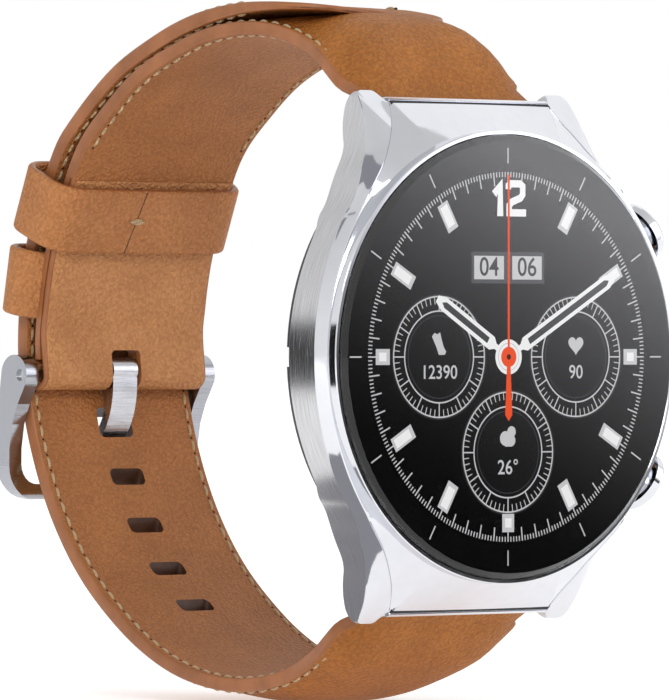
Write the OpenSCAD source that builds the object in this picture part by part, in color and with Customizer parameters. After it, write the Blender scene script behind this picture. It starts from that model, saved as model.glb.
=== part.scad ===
// Round smartwatch with a steel case, two pushers and a buckled leather strap.
// Frame: millimetres. +Z points to 12 o'clock, +X to 3 o'clock, -Y out of the dial.
// The origin is the centre of the flat sensor window on the case back.

/* [Case] */
// Radius of the round steel case
case_r = 23.25; // [23.1:0.05:23.5]
// Radius of the sealed space inside the case
cavity_r = 19.8; // [19.6:0.1:20]
// Largest front-to-back thickness, glass to sensor window
case_t = 10.9; // [10.8:0.1:11.2]
// Distance between the inner faces of the lugs
lug_gap = 21.8; // [21.6:0.1:22]
// Height of each lug's spring-bar axis above the dial centre
bar_z = 23.75; // [23.7:0.05:23.8]
// Place of the spring-bar axis, measured forward from the case back
bar_y = -3.05; // [-3.1:0.05:-3]

/* [Glass and display] */
// Radius of the cover glass
glass_r = 21.8; // [21.6:0.1:21.8]
// Thickness of the cover glass
glass_t = 1.3; // [1.2:0.1:1.3]
// Radius of the display panel
display_r = 19.5; // [19:0.1:19.5]

/* [Pushers] */
// Angle of each pusher above or below 3 o'clock
pusher_angle = 30; // [28:1:32]
// Radius of a pusher's cap
cap_r = 3.2; // [3:0.1:3.3]
// Radius of a pusher's stem
stem_r = 0.9; // [0.8:0.05:0.9]

/* [Strap] */
// Width of the strap
strap_w = 21.4; // [21:0.1:21.5]
// Thickness of the outer leather
outer_t = 1; // [0.9:0.1:1.1]
// Thickness of the lining leather
lining_t = 0.6; // [0.5:0.1:0.7]
// Width of an adjustment slot, across the strap
slot_w = 4.4; // [4:0.1:4.6]
// Length of an adjustment slot, along the strap
slot_l = 1.9; // [1.7:0.1:2.1]
// Distance between neighbouring slots
slot_pitch = 5.9; // [5.7:0.1:6]
// Length of strap from the spring bar to the slot in use
slot_used = 68.2; // [68:0.1:68.4]

/* [Buckle] */
// Radius of the buckle pin
pin_r = 0.6; // [0.5:0.05:0.65]
// Half of the clear width between the buckle's arms
buckle_in = 11; // [10.9:0.1:11.2]
// Half of the buckle's outer width
buckle_out = 12.6; // [12.5:0.1:13]
// Width of the tongue
tongue_w = 3.2; // [3:0.1:3.4]

/* [Keepers] */
// Half of a keeper's outer width
keeper_out = 12.3; // [12.2:0.1:12.6]
// Length of a keeper along the strap
keeper_l = 7; // [6:0.5:7.5]
// Thickness of a keeper's leather
keeper_t = 0.9; // [0.7:0.1:1]

/* [Hidden] */
$fn = 96;
eps = 0.01;

// Depths along Y. The dial plane lies a bevel's depth behind the glass front.
glass_front = -case_t;
glass_bevel = 0.6;
dial_y = glass_front + glass_bevel;
glass_back = glass_front + glass_t;
gasket_t = 0.3;
shoulder_y = glass_back + gasket_t;
bezel_y = dial_y + 1.14;
chamfer_y = dial_y + 1.96;
back_y = -4.4;
cover_rim_y = -3.5;
frame_y = -8.5;
board_y = -7.9;
board_t = 0.8;
board_back = board_y + board_t;
pusher_y = -5.7;
window_r = 13;
cover_r = 22.9;
cover_flat = 21.8;
lug_in = lug_gap / 2;
lip_z = 25.45;
lip_y = -4.2;
loop_r = 1.55;
pocket_r = 1.75;
bar_r = 0.9;
bar_bore_r = 0.62;
tip_r = 0.4;
fit = 0.05;
screw_r = 21.7;
bezel_r = 22.3;
chamfer_r = bezel_r + fit;
glass_seat_r = glass_r + fit;
cover_seat_r = cover_r + fit;
seal_r = 0.15;
seal_at = 20.4;
// Distances from the dial's axis along a pusher
clip_at = 19.37;
oring_at = 21.35;
collar_at = 22.95;
collar_r = 2.9;
neck_r = 2.2;
cap_from = 24.3;
cap_to = 25.6;
cap_round = 0.6;
strap_t = outer_t + lining_t;
// The slot in use is longer, and slants as the tongue pulls on it
tongue_slot_l = 3.3;
tongue_slot_at = slot_used + 0.5;
tongue_slant = 20;
pin_y = 50.9;
pin_z = -1.9;
// The point that the floating keeper's slide turns about
slide_y = 25.2;
slide_z = 5.6;
// Inner and outer limits of its opening, measured from that point
slide_in = 22.35;
slide_out = 29.1;
slide_angle = 22.5;

// Centre line of the buckle strap, in (Y, Z), from the spring bar to the buckle
upper_line = [[bar_y, bar_z], [1.3, 26.6], [6.1, 30.05], [12, 32.25], [18, 32.85],
    [24.1, 32.2], [30.2, 30.3], [34.6, 28.35], [38.8, 25.45], [42.9, 21.9], [45.6, 17.6],
    [48.7, 10.3], [50.1, 3.2], [50.2, -0.3]];
// Centre line of the long strap, in (Y, Z), from the spring bar to the tip
lower_line = [[bar_y, -bar_z], [1.6, -26.4], [6, -29.4], [11.7, -31.85], [18, -32.85],
    [24.3, -32.4], [30.3, -30.75], [36.5, -27.5], [42.9, -22.4], [47.7, -16.3],
    [51, -9.45], [52.7, -3], [53.05, 3.2], [51.7, 11.6], [47.7, 20.2], [44.5, 23.9],
    [38.2, 28.7], [31.8, 31.7], [25.5, 33.8], [19.4, 34.75], [13.6, 35], [8, 34.6]];
// Centre line of the tongue, in (Y, Z), from the pin to its tip
tongue_line = [[49.7, -1.6], [49.75, -3.6], [50.1, -5.4], [50.75, -6.9], [51.6, -8.05],
    [52.6, -8.95], [53.5, -10], [54.2, -11.3], [54.45, -13], [54.5, -15.3]];

// --- curves ---------------------------------------------------------------
// Point at share t between p1 and p2 on a smooth curve that passes through both
function curve_point(p0, p1, p2, p3, t) =
    0.5 * (2 * p1 + (p2 - p0) * t + (2 * p0 - 5 * p1 + 4 * p2 - p3) * t * t
    + (3 * p1 - p0 - 3 * p2 + p3) * t * t * t);
function padded_ends(p) =
    concat([2 * p[0] - p[1]], p, [2 * p[len(p) - 1] - p[len(p) - 2]]);
// Smooth curve through the points of p, with n steps between neighbours
function smooth_line(p, n) = let (q = padded_ends(p)) concat(
    [for (i = [1 : len(q) - 3]) for (k = [0 : n - 1])
        curve_point(q[i - 1], q[i], q[i + 1], q[i + 2], k / n)],
    [p[len(p) - 1]]);
function heading(c, i) =
    let (d = c[min(i + 1, len(c) - 1)] - c[max(i - 1, 0)]) d / norm(d);
// The line c moved sideways by d, to its left as one walks along it
function beside(c, d) =
    [for (i = [0 : len(c) - 1]) let (h = heading(c, i)) c[i] + d * [-h[1], h[0]]];
function reversed(c) = [for (i = [len(c) - 1 : -1 : 0]) c[i]];
function last_part(c, from) = [for (i = [from : len(c) - 1]) c[i]];
// Point and heading at the distance s along c
function walk(c, s, i = 0) =
    let (step = norm(c[i + 1] - c[i]))
    s <= step || i + 2 >= len(c)
        ? [c[i] + (c[i + 1] - c[i]) * s / step, heading(c, i)]
        : walk(c, s - step, i + 1);
function arc(centre, r, from, to, n) =
    [for (k = [0 : n]) let (a = from + (to - from) * k / n) centre + r * [cos(a), sin(a)]];

upper_curve = smooth_line(upper_line, 4);
lower_curve = smooth_line(lower_line, 4);

// --- shared shapes --------------------------------------------------------
// Cylinder or cone along +Y, from y0 to y1
module ycyl(r, y0, y1, r2 = -1) {
    translate([0, y0, 0]) rotate([-90, 0, 0])
        cylinder(h = y1 - y0, r1 = r, r2 = r2 < 0 ? r : r2);
}
// Outline in (radius, Y) turned about the Y axis
module turned(outline) {
    rotate([-90, 0, 0]) rotate_extrude() polygon(outline);
}
module yring(r_out, r_in, y0, y1) {
    difference() {
        ycyl(r_out, y0, y1);
        ycyl(r_in, y0 - 1, y1 + 1);
    }
}
// Cylinder along +X, from x0 to x1
module xcyl(r, x0, x1) {
    translate([x0, 0, 0]) rotate([0, 90, 0]) cylinder(h = x1 - x0, r = r, $fn = 48);
}
// Box from the low corner to the high corner
module block(low, high) {
    translate(low) cube(high - low);
}
// Outline in (Y, Z) drawn across the width w
module across(w) {
    rotate([90, 0, 90]) translate([0, 0, -w / 2]) linear_extrude(height = w) children();
}
// Strip of a strap between two distances beside its centre line
module strip(c, near, far, w) {
    across(w) polygon(concat(beside(c, near), reversed(beside(c, far))));
}
// Children along a pusher's axis, whose local +Z points out of the case
module at_pusher(side) {
    translate([0, pusher_y, 0]) rotate([0, 90 - side * pusher_angle, 0]) children();
}
// Children about the spring-bar axis at 12 o'clock (1) or 6 o'clock (-1)
module at_bar(side) {
    translate([0, bar_y, side * bar_z]) children();
}
// Children about the floating keeper's slide centre, local +Y pointing outward
module at_slide(angle) {
    translate([0, slide_y, slide_z]) rotate([angle, 0, 0]) children();
}

// --- case -----------------------------------------------------------------
// Front view of the case with its four lugs
module case_outline() {
    circle(r = case_r);
    for (sx = [-1, 1]) for (sz = [-1, 1]) scale([sx, sz]) polygon(concat(
        [[lug_in, 10], [20, 10]],
        [[17.45, 15.36], [16.2, 18], [15.1, 20], [14.5, 22], [14.05, 24], [13.85, 25.2]],
        arc([12.95, 25.2], 0.9, 0, 90, 5),
        arc([11.8, 25.2], 0.9, 90, 180, 5)));
}
// Side view of the case: bridges that slope from the bezel down to a lip between the
// lugs, and a flat back that steps rearwards at each lug
module side_outline() {
    polygon([[-12, -20.58], [-12, 20.58], [lip_y, lip_z], [-3.4, 26.05], [-2.8, 26.05],
        [-2.2, 25.5], [-1.9, 24.6],
        [-2.1, 22.6], [-2.8, 20.6], [-3.1, 18.4], [-3.3, 15.8], [-3.8, 13.4],
        [back_y, 11], [back_y, -11], [-3.8, -13.4], [-3.3, -15.8], [-3.1, -18.4],
        [-2.8, -20.6], [-2.1, -22.6], [-1.9, -24.6], [-2.2, -25.5], [-2.8, -26.05],
        [-3.4, -26.05], [lip_y, -lip_z]]);
}
// Sloping front: the bezel's chamfer runs on over the lugs as one cone
module front_form() {
    slope_r = 8;
    turned([[0, bezel_y], [chamfer_r, bezel_y],
        [chamfer_r + slope_r, bezel_y + slope_r * (chamfer_y - bezel_y) / (case_r - chamfer_r)],
        [chamfer_r + slope_r, 0], [0, 0]]);
}
module strap_pocket(side) {
    at_bar(side) {
        xcyl(pocket_r, -lug_in, lug_in);
        block([-lug_in, 0, side > 0 ? -pocket_r : -4], [lug_in, 6, side > 0 ? 4 : pocket_r]);
        xcyl(tip_r + fit, -lug_in - 1.3, lug_in + 1.3);
    }
}
// Case with its cavity, glass seat, cover seat and strap pockets
module case_shell() {
    difference() {
        intersection() {
            rotate([90, 0, 0]) linear_extrude(height = 12) case_outline();
            across(60) side_outline();
            front_form();
        }
        ycyl(cavity_r, shoulder_y - 1, 1);
        ycyl(glass_seat_r, bezel_y - 1, shoulder_y);
        intersection() {
            ycyl(cover_seat_r, back_y, 1);
            block([-25, -12, -cover_flat - fit], [25, 2, cover_flat + fit]);
        }
        for (side = [-1, 1]) {
            strap_pocket(side);
            translate([0, lip_y - 0.58, side * (lip_z - 0.36)]) xcyl(0.2, -lug_in, lug_in);
        }
    }
}
module case_body() {
    color("gainsboro") difference() {
        union() {
            case_shell();
            for (side = [-1, 1]) at_pusher(side)
                translate([0, 0, collar_at]) cylinder(h = 0.75, r = collar_r);
        }
        for (side = [-1, 1]) at_pusher(side) {
            translate([0, 0, 18]) cylinder(h = 6, r = stem_r + fit, $fn = 48);
            translate([0, 0, collar_at + 0.15]) cylinder(h = 1, r = neck_r + 0.15);
        }
        turned([[seal_at - 0.3, back_y - 2 * seal_r], [seal_at + 0.3, back_y - 2 * seal_r],
            [seal_at + 0.3, 0], [seal_at - 0.3, 0]]);
        at_screws(45, 90, screw_r) ycyl(0.5, -7.1, 0);
        translate([18, -6.5, 0]) xcyl(0.4, 0, 7);
    }
}
module at_screws(first, step, r) {
    for (a = [first : step : first + 359]) rotate([0, a, 0]) translate([r, 0, 0]) children();
}
module bezel_ring() {
    color("silver") turned([[glass_seat_r, bezel_y], [bezel_r, bezel_y],
        [bezel_r, dial_y + 0.1], [bezel_r - 0.1, dial_y], [glass_seat_r + 0.05, dial_y],
        [glass_seat_r, dial_y + 0.05]]);
}
module cover_glass() {
    color("black") turned([[0, glass_front], [glass_r - 0.55, glass_front], [glass_r, dial_y],
        [glass_r, glass_back], [0, glass_back]]);
}
module glass_gasket() {
    color("dimgray") yring(glass_r, 20.6, glass_back, shoulder_y);
}
module display_panel() {
    color("midnightblue") ycyl(display_r, glass_back, glass_back + 1);
}
module display_flex() {
    color("darkorange") across(7) polygon([[-8.6, -17], [-8.6, -19], [-6.85, -19],
        [-6.85, -14.5], [board_back, -14.5], [board_back, -18.82], [-8.45, -18.82],
        [-8.45, -17]]);
}
module antenna_ring() {
    color("ivory") difference() {
        yring(19.7, 19, -8.05, -7.35);
        block([-4.5, -9, -21], [4.5, -6, 0]);
    }
}
// Places of the screws that hold the main board to the inner frame
board_screws = [[-14.5, 9], [15, 3.5], [-9, -14.8], [9, -14.8]];
module at_board_screws() {
    for (p = board_screws) translate([p[0], 0, p[1]]) children();
}
module inner_frame() {
    color("slategray") difference() {
        union() {
            ycyl(19.5, frame_y, frame_y + 0.4);
            at_board_screws() ycyl(1.4, frame_y, board_y);
        }
        block([-4.2, -9, -20], [4.2, -7, -16.5]);
        at_board_screws() ycyl(0.42, frame_y + 0.1, -7);
    }
}
module frame_screws() {
    color("darkgray") at_board_screws() {
        ycyl(0.9, board_back, board_back + 0.5);
        ycyl(0.4, frame_y + 0.2, board_back);
    }
}
module battery() {
    color("darkslategray") block([-12, board_back, -10], [12, -3.8, 3]);
}
module main_board() {
    color("green") difference() {
        ycyl(18.8, board_y, board_back);
        block([-4.2, -9, -20], [4.2, -6, -17.6]);
        at_board_screws() ycyl(0.55, -9, -6);
    }
}
module shield_can() {
    color("lightgray") block([-12, board_back, 4.5], [1, -5.5, 14]);
}
module speaker() {
    color("darkslateblue") block([-17, board_back, -5], [-12.8, -4.7, 5]);
}
module microphone() {
    color("gold") block([17.1, board_back, -1.5], [18.6, -6.1, 1.5]);
}
module motor_housing() {
    color("lightsteelblue") difference() {
        block([3, board_back, 4.5], [12, -4.5, 13]);
        block([3.3, board_back + 0.3, 4.8], [11.7, -4.8, 12.7]);
    }
}
module motor_mass() {
    color("tan") block([3.8, board_back + 0.5, 5.1], [11.2, -5, 12.4]);
}
module back_cover() {
    color("gray") difference() {
        intersection() {
            turned([[13.05, -0.35], [15.5, -0.75], [18, -1.6], [20.2, -2.8], [21.2, -3.35],
                [22.6, cover_rim_y], [cover_r, -3.75], [cover_r, -4.3], [22.6, -4.3],
                [22.6, back_y], [19.2, back_y], [19.2, -3.6], [17.4, -2.5], [15.2, -1.6],
                [14, -1.3], [12.4, -1.3], [12.4, -0.95], [13.05, -0.95]]);
            block([-30, -6, -cover_flat], [30, 1, cover_flat]);
        }
        at_screws(45, 90, screw_r) {
            ycyl(0.55, -6, 0);
            ycyl(0.95, -3.9, 0);
        }
        block([-24, -4.3, -0.95], [-22.3, -3, 0.95]);
    }
}
module back_seal() {
    color("black") rotate([-90, 0, 0]) rotate_extrude()
        translate([seal_at, back_y - seal_r]) circle(r = seal_r, $fn = 24);
}
module back_screws() {
    color("darkgray") at_screws(45, 90, screw_r) difference() {
        union() {
            ycyl(0.9, -3.9, -3.35);
            ycyl(0.48, -7, -3.9);
        }
        block([-0.7, -3.55, -0.12], [0.7, -3, 0.12]);
    }
}
module sensor_window() {
    color("black") turned([[0, -0.95], [window_r, -0.95], [window_r, -0.2],
        [window_r - 0.25, 0], [0, 0]]);
}
module sensor_board() {
    color("seagreen") {
        ycyl(12.2, -2.3, -1.7);
        for (p = [[0, 0], [5, 0], [-5, 0], [0, 5], [0, -5]])
            block([p[0] - 1, -1.7, p[1] - 1], [p[0] + 1, -1.1, p[1] + 1]);
    }
}
module charging_coil() {
    color("orangered") yring(12.2, 8.2, -3.1, -2.4);
}

// --- pushers --------------------------------------------------------------
module button(side) {
    color("silver") at_pusher(side) rotate_extrude() polygon(concat(
        [[0, 18.7], [stem_r, 18.7], [stem_r, 19.35], [0.6, 19.35], [0.6, 19.6],
        [stem_r, 19.6], [stem_r, 21.2], [0.6, 21.2], [0.6, 21.5], [stem_r, 21.5],
        [stem_r, 23.75], [neck_r, 23.75], [neck_r, cap_from], [cap_r, cap_from]],
        arc([cap_r - cap_round, cap_to - cap_round], cap_round, 0, 90, 6), [[0, cap_to]]));
}
module button_oring(side) {
    color("black") at_pusher(side) translate([0, 0, oring_at]) rotate_extrude()
        translate([0.75, 0]) circle(r = 0.145, $fn = 24);
}
module button_clip(side) {
    color("dimgray") at_pusher(side) translate([0, 0, clip_at]) difference() {
        cylinder(h = 0.2, r = 1.15);
        translate([0, 0, -1]) cylinder(h = 3, r = 0.62, $fn = 48);
        translate([0, -0.4, -1]) cube([3, 0.8, 3]);
    }
}
module switch(side) {
    color("gold") at_pusher(side) {
        translate([-1.6, -1.2, 16.9]) cube([3.2, 2.4, 1.1]);
        translate([0, 0, 18]) cylinder(h = 0.15, r = 0.8, $fn = 48);
    }
}
module button_board() {
    color("darkgreen") {
        for (side = [-1, 1]) at_pusher(side) translate([-2.2, -1.4, 16.6]) cube([4.4, 2.8, 0.3]);
        intersection() {
            yring(16.95, 16.65, -6, -4.7);
            rotate([90, 0, 0]) translate([0, 0, 3])
                linear_extrude(height = 4) polygon([[0, 0], [20, 9], [20, -9]]);
        }
    }
}
module button_upper() { button(1); }
module button_lower() { button(-1); }
module button_upper_oring() { button_oring(1); }
module button_lower_oring() { button_oring(-1); }
module button_upper_clip() { button_clip(1); }
module button_lower_clip() { button_clip(-1); }
module switch_upper() { switch(1); }
module switch_lower() { switch(-1); }

// --- strap ----------------------------------------------------------------
// Wide flare beside the lugs, for the first stretch of each strap
module strap_width() {
    block([-strap_w / 2, -10, -60], [strap_w / 2, 70, 60]);
    for (side = [-1, 1]) translate([0, 12, 0]) rotate([90, 0, 0]) linear_extrude(height = 12)
        scale([1, side]) polygon([[-11.6, 26.6], [11.6, 26.6], [strap_w / 2, 31.5],
            [-strap_w / 2, 31.5]]);
}
module strap_layer(c, near, far) {
    intersection() {
        strip(c, near, far, 24);
        strap_width();
    }
}
// Leather loop that holds a spring bar
module bar_loop(side) {
    at_bar(side) xcyl(loop_r, -strap_w / 2, strap_w / 2);
}
// Bore for the spring bar, and the gap that its release lever works in
module bar_room(side) {
    at_bar(side) {
        xcyl(bar_r + 0.02, -strap_w / 2 - 1, strap_w / 2 + 1);
        rotate([side > 0 ? 215 : -35, 0, 0]) block([4.6, -1.1, 0], [7.4, 1.1, 3.2]);
    }
}
// One slot through the strap at the distance s from the spring bar
module slot_cutter(s, length, slant = 0) {
    place = walk(lower_curve, s);
    angle = atan2(place[1][1], place[1][0]);
    translate([0, place[0][0], place[0][1]]) rotate([angle - slant, 0, 0])
        translate([0, 0, -3]) linear_extrude(height = 6) {
            square([slot_w - slot_l, length], center = true);
            for (sx = [-1, 1]) translate([sx * (slot_w - slot_l) / 2, 0])
                square([slot_l - eps, length - slot_l + 2 * eps], center = true);
            for (sx = [-1, 1]) for (sy = [-1, 1])
                translate([sx * (slot_w - slot_l) / 2, sy * (length - slot_l) / 2])
                    circle(r = slot_l / 2, $fn = 48);
        }
}
module slot_cutters() {
    slot_cutter(tongue_slot_at, tongue_slot_l, tongue_slant);
    for (k = [-2, -1, 1, 2, 3, 4]) slot_cutter(slot_used - k * slot_pitch, slot_l);
}
module strap_upper_outer() {
    color("peru") difference() {
        union() {
            strap_layer(upper_curve, lining_t - strap_t / 2, strap_t / 2);
            bar_loop(1);
        }
        bar_room(1);
        pin_room();
    }
}
module strap_upper_lining() {
    color("sienna") difference() {
        strap_layer([for (i = [3 : len(upper_curve) - 6]) upper_curve[i]],
            -strap_t / 2, lining_t - strap_t / 2);
        bar_room(1);
    }
}
// Room for the pin and the tongue at the end of the buckle strap
module pin_room() {
    translate([0, pin_y, pin_z]) {
        xcyl(pin_r + 0.08, -15, 15);
        block([-tongue_w / 2 - 0.25, -4, -4], [tongue_w / 2 + 0.25, 4, 2.4]);
    }
}
// Leather folded round the buckle pin and sewn back under the strap
module strap_upper_fold() {
    color("peru") difference() {
        across(strap_w) polygon(concat(arc([pin_y - 0.5, pin_z], loop_r, 180, 450, 18),
            [[pin_y - 0.6, -0.3], [pin_y - 1.5, 2.2]]));
        strip(upper_curve, lining_t - strap_t / 2, strap_t / 2, 30);
        pin_room();
    }
}
module strap_lower_outer() {
    color("peru") difference() {
        union() {
            strap_layer(lower_curve, -strap_t / 2, strap_t / 2 - lining_t);
            bar_loop(-1);
        }
        bar_room(-1);
        slot_cutters();
    }
}
module strap_lower_lining() {
    color("sienna") difference() {
        strap_layer(last_part(lower_curve, 3), strap_t / 2 - lining_t, strap_t / 2);
        bar_room(-1);
        slot_cutters();
    }
}
module keeper_fixed() {
    color("peru") translate([0, 50.4, 7.4]) rotate([11, 0, 0]) difference() {
        block([-keeper_out, -0.9, -keeper_l / 2], [keeper_out, 5.1, keeper_l / 2]);
        block([-strap_w / 2 - eps, -2, -5], [strap_w / 2 + eps, 5.1 - keeper_t, 5]);
    }
}
module keeper_floating() {
    color("peru") at_slide(slide_angle) difference() {
        block([-keeper_out, slide_in - keeper_t, -keeper_l / 2],
            [keeper_out, slide_out + keeper_t, keeper_l / 2]);
        block([-strap_w / 2 - 0.3, slide_in, -5], [strap_w / 2 + 0.3, slide_out, 5]);
    }
}

// --- buckle ---------------------------------------------------------------
module buckle_side() {
    translate([51.9, pin_z]) circle(r = 2.1);
    translate([53.55, -13.95]) circle(r = 0.85);
    polygon([[50.15, -3.05], [51.3, -4.9], [52.2, -7], [52.65, -9.5], [52.7, -13.9],
        [54.4, -13.9], [54.85, -11.4], [55, -8.6], [54.8, -6], [54.3, -3.6], [53.9, -1.2],
        [51.9, pin_z]]);
}
// Front view of the frame: two arms joined by a bar with rounded corners
module buckle_front() {
    difference() {
        polygon(concat([[-buckle_out, 2], [-buckle_out, -11.3]],
            arc([-buckle_out + 3.5, -11.3], 3.5, 180, 270, 8),
            arc([buckle_out - 3.5, -11.3], 3.5, 270, 360, 8), [[buckle_out, 2]]));
        polygon(concat([[-buckle_in, 3], [-buckle_in, -11.1]],
            arc([-buckle_in + 2.1, -11.1], 2.1, 180, 270, 6),
            arc([buckle_in - 2.1, -11.1], 2.1, 270, 360, 6), [[buckle_in, 3]]));
    }
}
module buckle_frame() {
    color("silver") difference() {
        intersection() {
            across(40) buckle_side();
            translate([0, 60, 0]) rotate([90, 0, 0]) linear_extrude(height = 20)
                buckle_front();
        }
        translate([0, pin_y, pin_z]) xcyl(pin_r, -13, 13);
        block([-tongue_w / 2 - 0.3, 53.8, -16], [tongue_w / 2 + 0.3, 57, -12]);
    }
}
module buckle_pin() {
    color("gray") translate([0, pin_y, pin_z]) xcyl(pin_r, -12.3, 12.3);
}
module buckle_tongue() {
    curve = smooth_line(tongue_line, 4);
    color("silver") difference() {
        union() {
            translate([0, pin_y, pin_z]) xcyl(1.05, -tongue_w / 2, tongue_w / 2);
            translate([0, pin_y - 0.5, pin_z + 0.45]) xcyl(1.35, -tongue_w / 2, tongue_w / 2);
            strip(curve, -0.5, 0.5, tongue_w);
        }
        translate([0, pin_y, pin_z]) xcyl(pin_r + 0.06, -5, 5);
    }
}

// --- spring bars ----------------------------------------------------------
// The hollow tube with its fixed tip and the slot that the lever slides in
module bar_tube(side) {
    color("gray") at_bar(side) difference() {
        union() {
            xcyl(bar_r, -9.4, 9.4);
            xcyl(0.7, -10.6, -9.4);
            xcyl(tip_r, -12, -10.6);
        }
        xcyl(bar_bore_r, 1, 10);
        rotate([side > 0 ? 215 : -35, 0, 0]) block([4.9, -0.4, 0], [6.95, 0.4, 3]);
    }
}
// The sprung tip, with the lever that draws it in
module bar_plunger(side) {
    color("silver") at_bar(side) {
        xcyl(bar_bore_r - 0.04, 5, 10.6);
        xcyl(tip_r, 10.6, 12);
        rotate([side > 0 ? 215 : -35, 0, 0]) translate([6.5, 0, 0])
            cylinder(h = 2.5, r = 0.33, $fn = 32);
    }
}
// The return spring, as short as it gets with the tip drawn in
module bar_spring(side) {
    color("darkgray") at_bar(side) for (k = [0 : 5]) translate([1.12 + k * 0.5, 0, 0])
        rotate([0, 90, 0]) rotate_extrude() translate([0.42, 0]) circle(r = 0.1, $fn = 16);
}
module bar_upper_tube() { bar_tube(1); }
module bar_upper_plunger() { bar_plunger(1); }
module bar_upper_spring() { bar_spring(1); }
module bar_lower_tube() { bar_tube(-1); }
module bar_lower_plunger() { bar_plunger(-1); }
module bar_lower_spring() { bar_spring(-1); }

case_body();
bezel_ring();
cover_glass();
glass_gasket();
display_panel();
display_flex();
antenna_ring();
inner_frame();
frame_screws();
battery();
main_board();
shield_can();
speaker();
microphone();
motor_housing();
motor_mass();
back_cover();
back_seal();
back_screws();
sensor_window();
sensor_board();
charging_coil();
button_upper();
button_upper_oring();
button_upper_clip();
switch_upper();
button_lower();
button_lower_oring();
button_lower_clip();
switch_lower();
button_board();
strap_upper_outer();
strap_upper_lining();
strap_upper_fold();
strap_lower_outer();
strap_lower_lining();
keeper_fixed();
keeper_floating();
buckle_frame();
buckle_pin();
buckle_tongue();
bar_upper_tube();
bar_upper_plunger();
bar_upper_spring();
bar_lower_tube();
bar_lower_plunger();
bar_lower_spring();
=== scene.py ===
"""Looks of a round smartwatch with a steel case and a buckled leather strap.

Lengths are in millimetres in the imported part's own frame until they become a mesh:
+Z points to 12 o'clock, +X to 3 o'clock and the pushers, -Y out of the dial.
"""

import bisect
from math import cos, pi, radians, sin, sqrt, tan

import bmesh
import bpy
from mathutils import Matrix, Vector


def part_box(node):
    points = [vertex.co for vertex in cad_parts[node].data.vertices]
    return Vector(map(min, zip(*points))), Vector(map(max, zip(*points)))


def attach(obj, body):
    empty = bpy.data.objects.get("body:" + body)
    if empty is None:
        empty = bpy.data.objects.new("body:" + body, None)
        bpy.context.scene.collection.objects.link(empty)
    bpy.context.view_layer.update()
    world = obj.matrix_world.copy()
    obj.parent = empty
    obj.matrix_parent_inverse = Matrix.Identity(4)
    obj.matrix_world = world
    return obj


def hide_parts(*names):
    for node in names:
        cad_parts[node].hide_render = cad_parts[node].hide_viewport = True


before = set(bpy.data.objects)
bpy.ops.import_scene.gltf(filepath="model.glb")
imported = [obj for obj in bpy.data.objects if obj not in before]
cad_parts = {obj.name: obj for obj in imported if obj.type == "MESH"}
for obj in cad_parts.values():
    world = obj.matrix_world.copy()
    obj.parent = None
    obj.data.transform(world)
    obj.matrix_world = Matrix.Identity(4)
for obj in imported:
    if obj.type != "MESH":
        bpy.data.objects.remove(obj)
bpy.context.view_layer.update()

MM = 0.001
BODY = "watch"
# Play between the case's skin and what sits in it
FIT = 0.05


# --- places that come from the frame ---
def low(node):
    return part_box(node)[0] / MM


def high(node):
    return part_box(node)[1] / MM


def centre(node):
    return (low(node) + high(node)) / 2


GLASS_FRONT = low("cover_glass").y
GLASS_R = high("cover_glass").x
GLASS_BEVEL = 0.6
DIAL_Y = GLASS_FRONT + GLASS_BEVEL
BEZEL_R = high("bezel_ring").x
BEZEL_Y = high("bezel_ring").y
CASE_R = -low("case_body").x
CAVITY_R = 19.8
COVER_R = high("back_cover").x
COVER_FLAT = high("back_cover").z
SHOULDER_Y = high("glass_gasket").y
BACK_Y = -4.4
BAR = centre("bar_upper_tube")
LUG_IN = 10.9
LIP_Z = 25.45
LIP_Y = -4.2
PUSHER_ANGLE = 30
PUSHER_Y = centre("button_upper").y
PIN = centre("buckle_pin")

STRAP_HALF = 10.7
FLARE = 0.9
LAYER_SPLIT = -0.2
KEEPER_HALF = high("keeper_fixed").x
KEEPER_LENGTH = 7
KEEPER_T = 0.9
STRAP_CREASE = 50


# --- curves ---
def smooth_line(points, count):
    """Smooth curve through the points, with that many steps between neighbours."""
    p = [Vector(q) for q in points]
    p = [2 * p[0] - p[1], *p, 2 * p[-1] - p[-2]]
    line = []
    for a, b, c, d in zip(p, p[1:], p[2:], p[3:]):
        for k in range(count):
            t = k / count
            bend = (2 * a - 5 * b + 4 * c - d) * t * t + (3 * b - a - 3 * c + d) * t ** 3
            line.append(0.5 * (2 * b + (c - a) * t + bend))
    return [*line, p[-2]]


def between(value, pairs):
    """Value of a line through (where, value) pairs, flat past its ends."""
    for (x0, y0), (x1, y1) in zip(pairs, pairs[1:]):
        if value <= x1:
            share = min(max((value - x0) / (x1 - x0), 0), 1)
            return y0 + (y1 - y0) * share
    return pairs[-1][1]


def ease(value, start, end):
    """Goes smoothly from 0 at start to 1 at end."""
    t = min(max((value - start) / (end - start), 0), 1)
    return t * t * (3 - 2 * t)


def turns(count):
    """Angles that share out a full turn."""
    return [2 * pi * k / count for k in range(count)]


def arc(middle, radius, start, end, count):
    """Points of a round stretch, in degrees."""
    angles = [radians(start + (end - start) * k / count) for k in range(count + 1)]
    return [(middle[0] + radius * cos(a), middle[1] + radius * sin(a)) for a in angles]


def circle(middle, radius, count):
    return arc(middle, radius, 0, 360 - 360 / count, count - 1)


def steps(start, end, pitch):
    """Even steps from start to end, about a pitch apart."""
    count = max(int(round((end - start) / pitch)), 1)
    return [start + (end - start) * k / count for k in range(count + 1)]


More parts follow.
